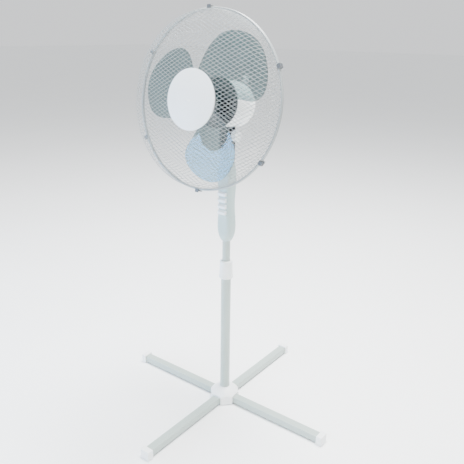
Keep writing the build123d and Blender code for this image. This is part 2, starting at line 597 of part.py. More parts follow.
link_low, link_high = link_level - LINK_THICK / 2, link_level + LINK_THICK / 2
eye_radius = CRANK_PIN_RADIUS + LINK_SLACK
link_face = make_hull([*(Pos(*crank_pin_at) * Circle(LINK_EYE)).edges(),
                       *(Pos(*anchor) * Circle(eye_radius + 1.6)).edges()])
link = Pos(0, 0, link_low) * extrude(link_face, LINK_THICK)
link = link - rod(CRANK_PIN_RADIUS + RUNNING, link_low - 1, link_high + 1, crank_pin_at)
link = link - rod(eye_radius, link_low - 1, link_high + 1, anchor)
keep("link_arm", link, place=HEAD)

# ================================================================ motor
rotor_span = (STACK_BACK, STACK_FRONT)
shaft = rod(SHAFT_RADIUS, SHAFT_BACK, SHAFT_FRONT)
worm_back, worm_front = -DRIVE_BACK - 8, -DRIVE_BACK + 8
shaft = shaft + rod(WORM_RADIUS, worm_back, worm_front)
thread_pitch = 2.0
for index in range(7):
    z = worm_back + 2 + index * thread_pitch
    shaft = shaft - tube(WORM_RADIUS + 1, WORM_RADIUS - 1.1, z - 0.45, z + 0.45)
pin_forward = RING_FORWARD + HUB_BACK + 4
shaft = shaft - Pos(0, 0, pin_forward) * Rot(0, 90, 0) * Cylinder(DRIVE_PIN_RADIUS, 4 * SHAFT_RADIUS)
keep("motor_shaft", shaft, place=AXIAL)
drive_pin = Rot(0, 90, 0) * Cylinder(DRIVE_PIN_RADIUS, 2 * HUB_SLEEVE - 0.6)
keep("drive_pin", Pos(0, 0, pin_forward) * drive_pin, place=AXIAL)

rotor = tube(STATOR_BORE - AIR_GAP, SHAFT_RADIUS, *rotor_span)
rotor = rotor + tube(STATOR_BORE - 2, 14, STACK_BACK - 3, STACK_FRONT + 3)
keep("rotor_core", rotor, place=AXIAL)

stator = tube(STATOR_RADIUS, STATOR_BORE, *rotor_span)
slot_tool = block((STATOR_BORE + 2.5, STATOR_RADIUS - 5), (-2.0, 2.0), (STACK_BACK - 1, STACK_FRONT + 1))
slot_mouth = block((STATOR_BORE - 1, STATOR_BORE + 3), (-0.8, 0.8), (STACK_BACK - 1, STACK_FRONT + 1))
stator = cut_all(stator, around(STATOR_SLOTS, slot_tool + slot_mouth))
keep("stator_core", stator, place=AXIAL)
coil_inner, coil_outer = STATOR_BORE + 2.6, STATOR_RADIUS - 5.1
coil = tube(coil_outer, coil_inner, STACK_FRONT + 0.05, STACK_FRONT + BELL_DEPTH - BELL_WALL - 0.5)
coil = coil + tube(coil_outer, coil_inner, STACK_BACK - BELL_DEPTH + BELL_WALL + 0.5, STACK_BACK - 0.05)
slot_copper = block((coil_inner, coil_outer - 0.2), (-1.8, 1.8), (STACK_BACK - 1, STACK_FRONT + 1))
keep("stator_windings", join_all(coil, around(STATOR_SLOTS, slot_copper)), place=AXIAL)

bell_front = STACK_FRONT + BELL_DEPTH
bell_back = STACK_BACK - BELL_DEPTH
bell_hub = BEARING_RADIUS + 2.5


def end_bell(stack_face, outer_face, hub_outer, hub_inner):
    """Cup on one end of the stack; faces are heights along the motor axis."""
    low, high = sorted((stack_face, outer_face))
    cup = rod(STATOR_RADIUS + 1, low, high)
    step = BELL_WALL if outer_face > stack_face else -BELL_WALL
    hollow_low, hollow_high = sorted((stack_face - step, outer_face - step))
    cup = cup - rod(STATOR_RADIUS - 2.5, hollow_low, hollow_high)
    hub_low, hub_high = sorted((hub_outer, hub_inner))
    cup = cup + rod(bell_hub, hub_low, hub_high)
    return cup


front_bell = end_bell(STACK_FRONT, bell_front, bell_front, bell_front - BEARING_LENGTH)
front_bell = front_bell - rod(BEARING_RADIUS, bell_front - BEARING_LENGTH - 1, bell_front + 1)
motor_screws = [(33.0, angle) for angle in (45, 135, 225, 315)]
for radius, angle in motor_screws:
    at = (radius * cos(radians(angle)), radius * sin(radians(angle)))
    front_bell = front_bell - rod(1.6, bell_front - BELL_WALL - 1, bell_front + 1, at)
keep("front_end_bell", front_bell, place=AXIAL)
rear_bell = end_bell(STACK_BACK, bell_back, GEARBOX_FRONT, GEARBOX_FRONT + BEARING_LENGTH)
rear_bell = rear_bell - rod(BEARING_RADIUS, GEARBOX_FRONT - 1, GEARBOX_FRONT + BEARING_LENGTH + 1)
keep("rear_end_bell", rear_bell, place=AXIAL)
bearing = SHAFT_RADIUS + RUNNING
keep("shaft_bearings", tube(BEARING_RADIUS, bearing, bell_front - BEARING_LENGTH, bell_front),
     tube(BEARING_RADIUS, bearing, GEARBOX_FRONT, GEARBOX_FRONT + BEARING_LENGTH), place=AXIAL)

front_shell = rod(SHELL_RADIUS, SHELL_SEAM, SHELL_FRONT)
front_shell = fillet(front_shell.faces().sort_by(Axis.Z)[-1].edges(), SHELL_EDGE)
front_shell = front_shell - rod(SHELL_RADIUS - SHELL_WALL, SHELL_SEAM - 1, SHELL_FRONT - SHELL_FACE)
front_shell = front_shell + rod(GUARD_BOSS_RADIUS, SHELL_FRONT - 1, GUARD_BOSS_FRONT)
front_shell = front_shell - rod(GUARD_BOSS_BORE, SHELL_SEAM, GUARD_BOSS_FRONT + 1)
vent = block((STATOR_RADIUS + 4, SHELL_RADIUS - 6), (-1.6, 1.6),
             (SHELL_FRONT - SHELL_FACE - 1, SHELL_FRONT + 1))
front_shell = cut_all(front_shell, around(24, vent))
screw_solids = []
for radius, angle in motor_screws:
    at = (radius * cos(radians(angle)), radius * sin(radians(angle)))
    front_shell = front_shell - rod(SCREW_HEAD + SNUG, SHELL_FRONT - 2, SHELL_FRONT + 1, at)
    front_shell = front_shell - rod(1.6, SHELL_SEAM, SHELL_FRONT, at)
    screw_solids.append(rod(SCREW_HEAD, SHELL_FRONT - 2, SHELL_FRONT, at)
                        + rod(1.5, bell_front - BELL_WALL - 0.5, SHELL_FRONT - 1, at))
keep("motor_front_shell", front_shell, place=AXIAL)


def rear_cover_form(inset):
    """Solid outside of the rear cover about the motor axis, shrunk by inset."""
    side = SHELL_RADIUS - inset
    back = COVER_BACK + inset
    depth = SHELL_SEAM - back
    straight = 0.43 * depth
    corner = (side, 0, SHELL_SEAM - straight)
    edges = [Line((0, 0, SHELL_SEAM), (side, 0, SHELL_SEAM)), Line((side, 0, SHELL_SEAM), corner),
             Spline(corner, (0.86 * side, 0, back + 0.225 * depth),
                    (0.55 * side, 0, back + 0.056 * depth), (0, 0, back),
                    tangents=[(0, 0, -1), (-1, 0, 0)]),
             Line((0, 0, back), (0, 0, SHELL_SEAM))]
    return revolve(make_face(edges), Axis.Z)


rear_cover = rear_cover_form(0) - (rear_cover_form(SHELL_WALL)
                                   + rod(SHELL_RADIUS - SHELL_WALL, SHELL_SEAM - 1, SHELL_SEAM + 1))
back_slot = block((20, 38), (-1.5, 1.5), (COVER_BACK - 5, -30))
rear_cover = cut_all(rear_cover, around(20, back_slot))
rear_cover = AXIAL * rear_cover
swing_opening = BLOCK_WIDTH / 2 + 9.0
rear_cover = rear_cover - HEAD * rod(swing_opening, -10, AXIS_UP)
rear_cover = rear_cover - HEAD * rod(CRANK_THROW + LINK_EYE + 2, -10, disc_bottom + 1, CRANK_AXIS)
rear_cover = rear_cover - HEAD * rod(PULL_ROD_RADIUS + 1.0, AXIS_UP, 2 * AXIS_UP, WHEEL_AXIS)
head_seat = -COVER_BACK - 4.5
cover_form = AXIAL * rear_cover_form(0)
cover_screws = []
for x, z in cover_screw_places:
    boss = HEAD * across(SCREW_HEAD_BOSS, -GEARBOX_REAR, -COVER_BACK, x, z)
    rear_cover = rear_cover + (boss & cover_form)
    rear_cover = rear_cover - HEAD * across(1.6, -GEARBOX_REAR - 1, -COVER_BACK, x, z)
    rear_cover = rear_cover - HEAD * across(SCREW_HEAD + SNUG, head_seat, -COVER_BACK + 2, x, z)
    cover_screws.append(across(SCREW_HEAD, head_seat, head_seat + 2, x, z)
                        + across(1.5, -GEARBOX_REAR - GEARBOX_WALL, head_seat + 1, x, z))
keep("motor_rear_cover", rear_cover)
keep("run_capacitor", fillet(block((GEARBOX_LEFT - 16, GEARBOX_LEFT), (-4, 26),
                                   (AXIS_UP - 10, AXIS_UP + 12)).edges(), 1.5),
     place=HEAD)

knob_bottom = AXIS_UP + SHELL_RADIUS - 1.5
keep("pull_rod", rod(PULL_ROD_RADIUS, gear_level + 1, knob_bottom + 8, WHEEL_AXIS), place=HEAD)
pull_knob = rod(PULL_KNOB_RADIUS, knob_bottom, knob_bottom + PULL_KNOB_HEIGHT, WHEEL_AXIS)
pull_knob = fillet(pull_knob.faces().sort_by(Axis.Z)[-1].edges(), 3.0)
pull_knob = pull_knob - rod(PULL_ROD_RADIUS, knob_bottom - 1, knob_bottom + 8, WHEEL_AXIS)
keep("pull_knob", pull_knob, place=HEAD)

# ======================== guards, heights measured from the ring plane
RING_INNER = RING_RADIUS - RING_BAND
plate_back = SHELL_FRONT - RING_FORWARD
plate_front = plate_back + PLATE_THICK


def guard_ring(low, high):
    return chamfer(tube(RING_RADIUS, RING_INNER, low, high).edges(), RING_EDGE)


pin_radius_at = RING_RADIUS + 2.7
pin_level = -5.6
rear_ring = guard_ring(-RING_DEPTH - SNUG, -SNUG)
lug_face = Pos(pin_radius_at, 0, pin_level) * Rot(90, 0, 0) * Cylinder(2.0, 1.6)
lug_foot = block((RING_RADIUS - 1, pin_radius_at), (-0.8, 0.8), (pin_level - 0.6, pin_level + 2.4))
hinge_pin = Pos(pin_radius_at, 0, pin_level) * Rot(90, 0, 0) * Cylinder(CLIP_PIN_RADIUS, CLIP_WIDTH + 3)
for angle in CLIP_ANGLES:
    for side in (-1, 1):
        offset = side * (CLIP_WIDTH / 2 + APART + 0.8)
        rear_ring = rear_ring + Rot(0, 0, angle) * Pos(0, offset, 0) * (lug_face + lug_foot)
    rear_ring = rear_ring + Rot(0, 0, angle) * hinge_pin
keep("rear_guard_ring", rear_ring, place=RING)
keep("front_guard_ring", guard_ring(SNUG, SNUG + RING_DEPTH), place=RING)

mesh_edge = RING_INNER - SNUG - MESH_THICK / 2
rear_mesh = [(PLATE_RADIUS - 3, plate_front + MESH_THICK / 2 + 0.02), (PLATE_RADIUS + 4, plate_front + 0.8),
             (120, plate_front + 6.0), (185, plate_front + 14.5), (205, plate_front + 22.0),
             (mesh_edge, -RING_DEPTH / 2)]
keep("rear_guard_mesh", turned_sheet(rear_mesh, MESH_THICK), place=RING)
front_mesh = [(mesh_edge, RING_DEPTH / 2 + 1), (mesh_edge - 1.0, 14.0), (207.0, 27.0), (197.0, 39.0),
              (178.0, 45.5),
              (125.0, 52.5), (CAP_RADIUS - 3.5, CAP_RIM - 2.4)]
keep("front_guard_mesh", turned_sheet(front_mesh, MESH_THICK), place=RING)

plate = tube(PLATE_RADIUS, GUARD_BOSS_RADIUS + SNUG, plate_back, plate_front)
keep("rear_guard_plate",
     fillet(plate.faces().sort_by(Axis.Z)[-1].edges().sort_by(SortBy.LENGTH)[-1:], 1.2), place=RING)
nut = tube(GUARD_NUT_RADIUS, GUARD_BOSS_RADIUS + SNUG, plate_front, plate_front + GUARD_NUT_THICK)
nut = cut_all(nut, around(12, rod(2.6, plate_front - 1, plate_front + 12, (GUARD_NUT_RADIUS + 1.2, 0))))
keep("guard_nut", nut, place=RING)

cap_back = CAP_RIM - 2.0
cap_sphere = ((CAP_RADIUS ** 2) + CAP_CROWN ** 2) / (2 * CAP_CROWN)
dome = Pos(0, 0, CAP_RIM + CAP_CROWN - cap_sphere) * Sphere(cap_sphere)
cap = rod(CAP_RADIUS, cap_back, CAP_RIM + CAP_CROWN) & dome
cap_inner = rod(CAP_RADIUS - CAP_WALL, cap_back - 1, CAP_RIM + CAP_CROWN) & (Pos(0, 0, -CAP_WALL) * dome)
cap = cap - cap_inner
peg_circle = 50.0
clamp_front = cap_back - MESH_THICK - 0.7
for peg in around(4, rod(4, clamp_front, CAP_RIM + CAP_CROWN, (peg_circle, 0)), 45):
    cap = cap + (peg & dome)
cap = cut_all(cap, around(4, rod(1.5 + RUNNING, clamp_front - 1, clamp_front + 3.4, (peg_circle, 0)), 45))
keep("front_cap", cap, place=RING)
clamp = tube(CAP_RADIUS - 1.5, 30, clamp_front - 2, clamp_front)
keep("cap_clamp_plate", cut_all(clamp, around(4, rod(1.7, clamp_front - 3, clamp_front + 1,
                                                     (peg_circle, 0)), 45)), place=RING)
cap_screw = rod(SCREW_HEAD, clamp_front - 4, clamp_front - 2, (peg_circle, 0))
cap_screw = cap_screw + rod(1.5, clamp_front - 3, clamp_front + 3, (peg_circle, 0))
keep("head_screws", *[HEAD * screw for screw in cover_screws], *[AXIAL * screw for screw in screw_solids],
     *[RING * screw for screw in around(4, cap_screw, 45)])


def guard_clip():
    """Hinged clip at angle 0: barrel on the rear ring's pin, lip over the front ring."""
    half = CLIP_WIDTH / 2
    inner = RING_RADIUS + 0.5
    lip_back = SNUG + RING_DEPTH + 0.4
    bar = block((inner, inner + CLIP_THICK), (-half, half), (pin_level, lip_back + 2))
    barrel = Pos(pin_radius_at, 0, pin_level) * Rot(90, 0, 0) * Cylinder(2.2, CLIP_WIDTH)
    lip = block((RING_INNER + 0.6, inner + CLIP_THICK), (-half, half), (lip_back, lip_back + 2))
    thumb = block((inner, inner + CLIP_THICK + 2.4), (-half, half), (lip_back, lip_back + 2))
    bore = Rot(90, 0, 0) * Cylinder(CLIP_PIN_RADIUS + RUNNING, CLIP_WIDTH + 1)
    bore = Pos(pin_radius_at, 0, pin_level) * bore
    return bar + barrel + lip + thumb - bore


for number, angle in enumerate(CLIP_ANGLES, start=1):
    keep(f"guard_clip_{number}", Rot(0, 0, angle) * guard_clip(), place=RING)

# ================================================================ fan blade


def blade_height(angle):
    """Height of the blade's middle surface at an angle from its centre line."""
    share = angle / BLADE_SPAN
    return BLADE_MIDDLE + BLADE_RISE * share - BLADE_CAMBER * (1 - share ** 2)


def polar(radius, angle, height=0.0):
    return (radius * cos(radians(angle)), radius * sin(radians(angle)), height)


def blade_sheet():
    """Twisted sheet, wider than a blade, with the blade's thickness along the axis."""
    radii = [20 + step * 45 for step in range(5)]
    angles = [-64 + step * 16 for step in range(9)]
    grid = [[Vector(*polar(radius, angle, blade_height(angle) - BLADE_THICK / 2)) for angle in angles]
            for radius in radii]
    return extrude(Face.make_surface_from_array_of_points(grid, tol=0.05), BLADE_THICK, dir=(0, 0, 1))


def blade_outline():
    """Broad rounded paddle; the leading edge bulges clockwise as seen from the front."""
    root = HUB_RADIUS - 1
    leading = [(root, -40), (72, -36), (100, -38.5), (128, -40.5), (150, -38), (168, -30.5), (183, -18)]
    trailing = [(191, 11), (180, 20), (164, 29), (140, 36), (112, 42), (80, 49), (root, 56)]
    points = [polar(*point) for point in leading + [(BLADE_TIP, -2)] + trailing]
    return make_face([Spline(*points), Line(points[-1], points[0])])


sheet = blade_sheet()
one_blade = sheet & (Pos(0, 0, -60) * extrude(blade_outline(), 120))
hub = tube(HUB_RADIUS, HUB_RADIUS - HUB_WALL, HUB_BACK, HUB_FRONT)
hub = hub + rod(HUB_RADIUS - 1, HUB_FLOOR - HUB_WALL, HUB_FLOOR) + rod(HUB_SLEEVE, HUB_BACK, HUB_FLOOR)
rib = block((HUB_SLEEVE - 1, HUB_RADIUS - 1), (-0.9, 0.9), (HUB_BACK + 8, HUB_FLOOR - 1))
hub = join_all(hub, around(6, rib))
fan = join_all(hub, around(BLADE_COUNT, one_blade, BLADE_PHASE))
fan = fan - rod(HUB_RADIUS - HUB_WALL, HUB_FLOOR, HUB_FRONT + 20)
fan = fan - rod(SHAFT_RADIUS + 0.02, HUB_BACK - 1, HUB_FRONT)
pin_slot = block((-HUB_SLEEVE - 1, HUB_SLEEVE + 1), (-DRIVE_PIN_RADIUS - SNUG, DRIVE_PIN_RADIUS + SNUG),
                 (HUB_BACK - 1, HUB_BACK + 4 + DRIVE_PIN_RADIUS + SNUG))
fan = fan - pin_slot
keep("fan_blade", fan, place=RING)
spinner = rod(SPINNER_RADIUS, HUB_FLOOR, HUB_FLOOR + 18)
spinner = fillet(spinner.faces().sort_by(Axis.Z)[-1].edges(), 5.0)
spinner = cut_all(spinner, around(8, rod(2.2, HUB_FLOOR + 4, HUB_FLOOR + 20, (SPINNER_RADIUS + 1, 0))))
spinner = spinner - rod(SHAFT_RADIUS + 0.02, HUB_FLOOR - 1, SHAFT_FRONT - RING_FORWARD + 0.1)
keep("spinner_nut", spinner, place=RING)

# ================================================================ write one file per node
os.makedirs("parts", exist_ok=True)
for name, shape in nodes.items():
    export_step(shape, f"parts/{name}.step")
print(len(nodes), "nodes")
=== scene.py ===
"""Looks of a pedestal fan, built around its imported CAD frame.

Laid out as an add-on: each group of like pieces has an operator, and main() runs them in order.
"""
import json
import math

import bpy
from mathutils import Matrix, Vector

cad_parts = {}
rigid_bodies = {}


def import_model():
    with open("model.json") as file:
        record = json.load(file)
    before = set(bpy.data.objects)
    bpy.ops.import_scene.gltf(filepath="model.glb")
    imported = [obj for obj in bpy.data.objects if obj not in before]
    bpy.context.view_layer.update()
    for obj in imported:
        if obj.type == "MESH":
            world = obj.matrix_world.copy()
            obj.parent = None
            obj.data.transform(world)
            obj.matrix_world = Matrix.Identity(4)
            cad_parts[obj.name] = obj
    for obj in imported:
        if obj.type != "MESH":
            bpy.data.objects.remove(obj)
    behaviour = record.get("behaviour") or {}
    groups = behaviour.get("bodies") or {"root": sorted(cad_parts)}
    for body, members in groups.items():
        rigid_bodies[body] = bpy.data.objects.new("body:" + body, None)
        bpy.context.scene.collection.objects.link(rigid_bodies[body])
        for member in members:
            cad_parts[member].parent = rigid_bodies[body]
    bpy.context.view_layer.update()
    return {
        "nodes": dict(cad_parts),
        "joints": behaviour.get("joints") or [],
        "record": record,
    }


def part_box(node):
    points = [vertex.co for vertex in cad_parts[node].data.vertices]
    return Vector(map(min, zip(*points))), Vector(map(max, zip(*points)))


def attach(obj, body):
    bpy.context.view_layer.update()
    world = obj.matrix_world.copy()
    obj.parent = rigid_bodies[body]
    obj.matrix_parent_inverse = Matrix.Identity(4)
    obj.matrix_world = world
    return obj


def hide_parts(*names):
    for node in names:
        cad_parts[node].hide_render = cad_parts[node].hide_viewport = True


bl_info = {
    "name": "Pedestal fan",
    "version": (1, 0, 0),
    "blender": (4, 5, 0),
    "location": "View3D > Sidebar > Pedestal fan",
    "description": "Builds the finishes, guard lattice and stage of a pedestal fan",
    "category": "Object",
}

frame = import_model()
MM = 0.001


# ------------------------------------------------------------------ places read from the frame
def joint_named(name):
    return next(joint for joint in frame["joints"] if joint["name"] == name)


MOTOR_AXIS = Vector(joint_named("blade_spin")["axis"])          # points forwards
SWING_AXIS = Vector(joint_named("head_swing")["axis"])          # points up through the neck


def ring_matrix():
    """Frame of the guard rings: X across, Y up the head, Z forwards, origin between the rings."""
    low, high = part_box("front_guard_ring")
    middle = (low + high) / 2
    ring_depth, ring_gap = 4.0 * MM, 0.1 * MM
    origin = middle - MOTOR_AXIS * (ring_depth / 2 + ring_gap)
    across = Vector((1, 0, 0))
    return Matrix.Translation(origin) @ Matrix((across, SWING_AXIS, MOTOR_AXIS)).transposed().to_4x4()


RING = ring_matrix()

# Guard profiles from the inner to the outer edge: radius, height ahead of the ring plane, in millimetres.
FRONT_PROFILE = [(66.0, 58.0), (125, 52.5), (172, 46.5), (190, 43.5), (203, 36), (208.5, 25), (210.3, 14),
                 (210.8, 2.2)]
REAR_PROFILE = [(60.0, -38.4), (90, -36.6), (125, -32.6), (170, -26.4), (192, -22.5), (205, -15),
                (210.5, -2.2)]
LEAST_LATTICE_FACES = 1000

# Nodes of the white plastic slot that get a darker greenish grey copy of it: painted shade of the
# housing's shaded, greenish-lit sides.
PAINTED_SHADE_NODES = ("control_housing_front", "control_housing_rear")

FLOOR_SIZE = 60.0
FLOOR_LEVEL = -0.0005        # just under the feet
SKY_TINT = (0.96, 0.98, 1.0)
LIGHT_TARGET = Vector((0, 0, 0.75))
# Area lights: name, place, size in metres, power in watts, tint.
LIGHTS = [("window_light", (-1.61, -1.62, 0.52), 0.95, 62, (0.26, 0.57, 1.0)),
          ("front_light", (-0.5, -2.9, 2.3), 1.0, 60, (1.0, 0.99, 0.97)),
          ("side_light", (2.6, -0.6, 1.9), 1.0, 25, (0.97, 1.0, 1.0)),
          ("top_light", (0.15, 0.35, 3.2), 1.4, 400, (1.0, 1.0, 1.0))]
CAMERA_PLACE = (0.89174, -1.16590, 1.05452)
SENSOR_WIDTH = 36.0          # millimetres


# ------------------------------------------------------------------ settings
def length(name, description, default):
    return bpy.props.FloatProperty(name=name, description=description, default=default * MM,
                                   unit="LENGTH", precision=5)


def colour(name, description, default):
    return bpy.props.FloatVectorProperty(name=name, description=description, subtype="COLOR",
                                         size=3, min=0, max=1, default=default)


class PF_GuardSettings(bpy.types.PropertyGroup):
    cell_width: length("Cell width", "Long diagonal of one diamond", 18.2)
    cell_height: length("Cell height", "Short diagonal of one diamond", 9.5)
    strand: length("Strand", "Radius of one strand", 0.42)
    step: length("Step", "Distance between points along a strand", 4.5)
    coat: colour("Guard coat", "Powder coat of the guards", (0.30, 0.325, 0.325))


class PF_FinishSettings(bpy.types.PropertyGroup):
    casing: colour("Casing", "White moulded plastic", (0.86, 0.88, 0.88))
    # Housing: darker greenish grey copy of the white plastic, painted shade of its shaded, greenish-lit
    # sides
    housing: colour("Housing", "Cooler white of the control housing", (0.38, 0.49, 0.48))
    paint: colour("Paint", "Powder coat of tubes and base bars", (0.36, 0.43, 0.40))
    keys: colour("Keys", "Gloss plastic of the push keys", (0.80, 0.85, 0.87))
    dark: colour("Dark plastic", "Motor shell, neck and nuts", (0.006, 0.0065, 0.008))
    clip: colour("Clips", "Guard clips", (0.09, 0.10, 0.11))
    blade: colour("Blade", "Smoky tint of the fan blade", (0.24, 0.33, 0.335))
    clearness: bpy.props.FloatProperty(name="Blade clearness",
                                       description="Share of light let through the blade",
                                       default=0.95, min=0, max=1, subtype="FACTOR")


class PF_StageSettings(bpy.types.PropertyGroup):
    azimuth: bpy.props.FloatProperty(name="Azimuth",
                                     description="Camera turned from the front towards +X",
                                     default=math.radians(36.824), subtype="ANGLE")
    elevation: bpy.props.FloatProperty(name="Elevation", description="Camera above the horizon",
                                       default=math.radians(19.534), subtype="ANGLE")
    roll: bpy.props.FloatProperty(name="Roll", description="Camera turned about its own axis",
                                  default=math.radians(0.839), subtype="ANGLE")
    lens: bpy.props.FloatProperty(name="Lens", description="Focal length in millimetres", default=44.17)
    floor: colour("Floor", "Pale floor", (0.93, 0.94, 0.94))
    brightness: bpy.props.FloatProperty(name="Brightness",
                                        description="Strength of the surrounding light", default=1.15)


# ------------------------------------------------------------------ materials
def new_material(name, base, roughness, metallic=0.0):
    """Material with a principled shader; returns it with its tree and shader."""
    material = bpy.data.materials.new(name)
    material.use_nodes = True
    tree = material.node_tree
    shader = tree.nodes["Principled BSDF"]
    shader.inputs["Base Color"].default_value = (*base, 1)
    shader.inputs["Roughness"].default_value = roughness
    shader.inputs["Metallic"].default_value = metallic
    return material, tree, shader


def noise(tree, scale, detail=4.0, stretch=(1, 1, 1)):
    """Noise on object coordinates; scale is in cells per metre."""
    coordinates = tree.nodes.new("ShaderNodeTexCoord")
    mapping = tree.nodes.new("ShaderNodeMapping")
    mapping.inputs["Scale"].default_value = stretch
    texture = tree.nodes.new("ShaderNodeTexNoise")
    texture.inputs["Scale"].default_value = scale
    texture.inputs["Detail"].default_value = detail
    tree.links.new(coordinates.outputs["Object"], mapping.inputs["Vector"])
    tree.links.new(mapping.outputs["Vector"], texture.inputs["Vector"])
    return texture


def vary_colour(tree, shader, base, scale, spread):
    """Slow drift of the base colour between two close tones."""
    texture = noise(tree, scale)
    ramp = tree.nodes.new("ShaderNodeValToRGB")
    darker = [max(0.0, channel * (1 - spread)) for channel in base]
    lighter = [min(1.0, channel * (1 + spread * 0.6)) for channel in base]
    ramp.color_ramp.elements[0].position = 0.3
    ramp.color_ramp.elements[1].position = 0.7
    ramp.color_ramp.elements[0].color = (*darker, 1)
    ramp.color_ramp.elements[1].color = (*lighter, 1)
    tree.links.new(texture.outputs["Fac"], ramp.inputs["Fac"])
    tree.links.new(ramp.outputs["Color"], shader.inputs["Base Color"])


def vary_roughness(tree, shader, low, high, scale):
    texture = noise(tree, scale, 3.0)
    spread = tree.nodes.new("ShaderNodeMapRange")
    spread.inputs["To Min"].default_value = low
    spread.inputs["To Max"].default_value = high
    tree.links.new(texture.outputs["Fac"], spread.inputs["Value"])
    tree.links.new(spread.outputs["Result"], shader.inputs["Roughness"])


def grain(tree, shader, scale, depth, stretch=(1, 1, 1), detail=3.0):
    """Fine surface grain as bump; depth is in metres."""
    texture = noise(tree, scale, detail, stretch)
    bump = tree.nodes.new("ShaderNodeBump")
    bump.inputs["Strength"].default_value = 0.6
    bump.inputs["Distance"].default_value = depth
    tree.links.new(texture.outputs["Fac"], bump.inputs["Height"])
    tree.links.new(bump.outputs["Normal"], shader.inputs["Normal"])


def moulded(name, base, roughness=0.42, grain_depth=0.00006, coat=0.0, sheen=0.5):
    """Injection-moulded plastic with a fine spark-eroded grain."""
    material, tree, shader = new_material(name, base, roughness)
    vary_colour(tree, shader, base, 14, 0.03)
    vary_roughness(tree, shader, roughness - 0.07, roughness + 0.09, 60)
    grain(tree, shader, 1400, grain_depth)
    shader.inputs["Coat Weight"].default_value = coat
    shader.inputs["Coat Roughness"].default_value = 0.12
    shader.inputs["Specular IOR Level"].default_value = sheen
    shader.inputs["Subsurface Weight"].default_value = 0.04
    shader.inputs["Subsurface Scale"].default_value = 0.004
    return material


def powder_coat(name, base):
    """Baked powder coat on steel, with a slight orange peel."""
    material, tree, shader = new_material(name, base, 0.34)
    vary_colour(tree, shader, base, 9, 0.025)
    vary_roughness(tree, shader, 0.28, 0.42, 45)
    grain(tree, shader, 420, 0.00012, detail=2.0)
    shader.inputs["Coat Weight"].default_value = 0.25
    shader.inputs["Coat Roughness"].default_value = 0.2
    return material


def bare_metal(name, base, roughness, stretch=(1, 1, 1), scale=700):
    """Plated, cast or wound metal; stretch draws the grain out along one direction."""
    material, tree, shader = new_material(name, base, roughness, 1.0)
    vary_colour(tree, shader, base, 60, 0.12)
    vary_roughness(tree, shader, roughness - 0.08, roughness + 0.14, 160)
    grain(tree, shader, scale, 0.0001, stretch)
    return material


def smoky_plastic(name, base, clearness):
    """Tinted see-through blade plastic with faint flow marks and a glossy face."""
    material, tree, shader = new_material(name, base, 0.1)
    vary_colour(tree, shader, base, 11, 0.08)
    vary_roughness(tree, shader, 0.03, 0.06, 30)
    grain(tree, shader, 90, 0.00006, detail=2.0)
    shader.inputs["Transmission Weight"].default_value = clearness
    shader.inputs["IOR"].default_value = 1.5
    shader.inputs["Specular IOR Level"].default_value = 0.35
    return material


def slot_materials(finish, guard):
    """One material for each material slot of the record."""
    return {
        "white_plastic": moulded("white_moulding", finish.casing, 0.4),
        # The housing's material is the white plastic darkened and tinted green: painted shade
        "white_plastic_painted_shade": moulded("housing_painted_shade_moulding", finish.housing, 0.36),
        "white_tube_paint": powder_coat("tube_powder_coat", finish.paint),
        "guard_wire": powder_coat("guard_powder_coat", guard.coat),
        "key_plastic": moulded("key_moulding", finish.keys, 0.24, 0.00002, 0.4),
        "black_plastic": moulded("black_moulding", finish.dark, 0.5, sheen=0.06),
        "clip_plastic": moulded("clip_moulding", finish.clip, 0.5),
        "smoke_blade": smoky_plastic("smoke_blade_plastic", finish.blade, finish.clearness),
        "zinc_steel": bare_metal("zinc_plate", (0.58, 0.60, 0.63), 0.3),
        "lamination_steel": bare_metal("stacked_laminations", (0.30, 0.30, 0.31), 0.42, (1, 14, 1)),
        "copper_wire": bare_metal("lacquered_copper", (0.62, 0.25, 0.10), 0.28, (1, 6, 1)),
        "die_cast": bare_metal("die_cast_metal", (0.55, 0.55, 0.56), 0.5, scale=320),
        "gear_nylon": moulded("gear_nylon_moulding", (0.72, 0.68, 0.56), 0.45),
        "bearing_bronze": bare_metal("sintered_bronze", (0.45, 0.30, 0.14), 0.48),
        "capacitor_case": moulded("capacitor_moulding", (0.03, 0.04, 0.16), 0.35),
    }


# ------------------------------------------------------------------ geometry node helpers
class Tree:
    """Small wrapper that adds and links geometry nodes."""

    def __init__(self, name, inputs):
        self.group = bpy.data.node_groups.new(name, "GeometryNodeTree")
        face = self.group.interface
        face.new_socket("Geometry", in_out="INPUT", socket_type="NodeSocketGeometry")
        self.ids = {}
        for label, default in inputs.items():
            kind = "NodeSocketInt" if isinstance(default, int) else "NodeSocketFloat"
            socket = face.new_socket(label, in_out="INPUT", socket_type=kind)
            socket.default_value = default
            self.ids[label] = socket.identifier
        face.new_socket("Geometry", in_out="OUTPUT", socket_type="NodeSocketGeometry")
        self.source = self.group.nodes.new("NodeGroupInput")
        self.result = self.group.nodes.new("NodeGroupOutput")

    def node(self, kind, settings=None, **inputs):
        """Add a node; keyword names are its input labels with _ for spaces."""
        made = self.group.nodes.new(kind)
        for key, value in (settings or {}).items():
            setattr(made, key, value)
        for label, value in inputs.items():
            self.feed(made.inputs[label.replace("_", " ")], value)
        return made

    def feed(self, socket, value):
        if isinstance(value, bpy.types.NodeSocket):
            self.group.links.new(value, socket)
        else:
            socket.default_value = value

    def math(self, operation, first, second=None):
        made = self.group.nodes.new("ShaderNodeMath")
        made.operation = operation
        self.feed(made.inputs[0], first)
        if second is not None:
            self.feed(made.inputs[1], second)
        return made.outputs[0]

    def finish(self, geometry, material):
        realised = self.node("GeometryNodeRealizeInstances", Geometry=geometry)
        painted = self.node("GeometryNodeSetMaterial", Geometry=realised.outputs[0],
                            Material=material)
        self.group.links.new(painted.outputs[0], self.result.inputs[0])


